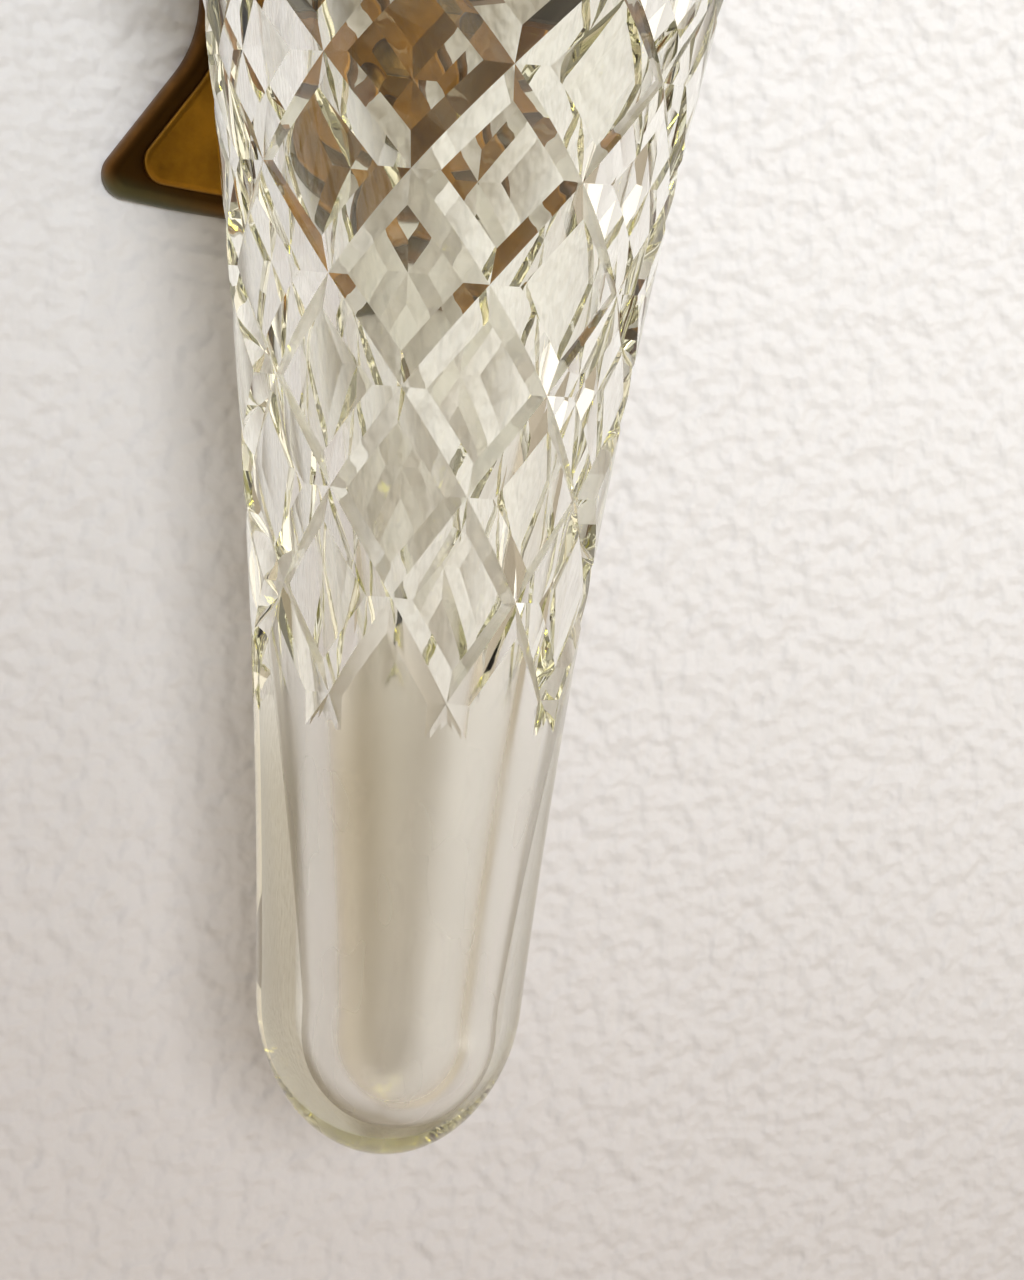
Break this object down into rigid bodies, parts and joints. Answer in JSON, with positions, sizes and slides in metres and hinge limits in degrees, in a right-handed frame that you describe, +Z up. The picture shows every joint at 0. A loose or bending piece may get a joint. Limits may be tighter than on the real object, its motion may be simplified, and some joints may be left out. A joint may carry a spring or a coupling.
{
  "type": "wall vase",
  "caption": "Tapered cut-crystal flower vase with a diamond-cut body and plain rounded base, hung in a brass ring on a flared brass wall plate.",
  "frame": {"origin": "centre of the wall plate's flat back face, level with the middle of the ring", "axes": "+Z up along the vase, +Y into the wall, +X to the right for a viewer facing the wall"},
  "size_m": [0.0822, 0.1211, 0.2003],
  "materials": {
    "plate_brass": "aged satin",
    "panel_brass": "aged satin",
    "screw_brass": "satin",
    "sleeve_rubber": "matt",
    "crystal": "polished"
  },
  "bodies": {
    "bracket": {"back_plate": "plate_brass", "front_panel": "panel_brass", "support_arm": "plate_brass", "holder_ring": "plate_brass", "wall_screw_lower": "screw_brass", "wall_screw_upper": "screw_brass", "arm_screw_lower": "screw_brass", "arm_screw_upper": "screw_brass", "ring_screw_left": "screw_brass", "ring_screw_right": "screw_brass"},
    "liner": {"vase_liner": "sleeve_rubber"},
    "vase": {"glass_vase": "crystal"}
  },
  "joints": [
    {"name": "vase_turn", "type": "hinge", "parent": "bracket", "child": "liner", "pos_m": [0, -0.056, 0], "axis": [0, 0, 1], "continuous": true},
    {"name": "vase_lift", "type": "slide", "parent": "liner", "child": "vase", "axis": [0, 0, 1], "range_m": [0, 0.17]}
  ]
}
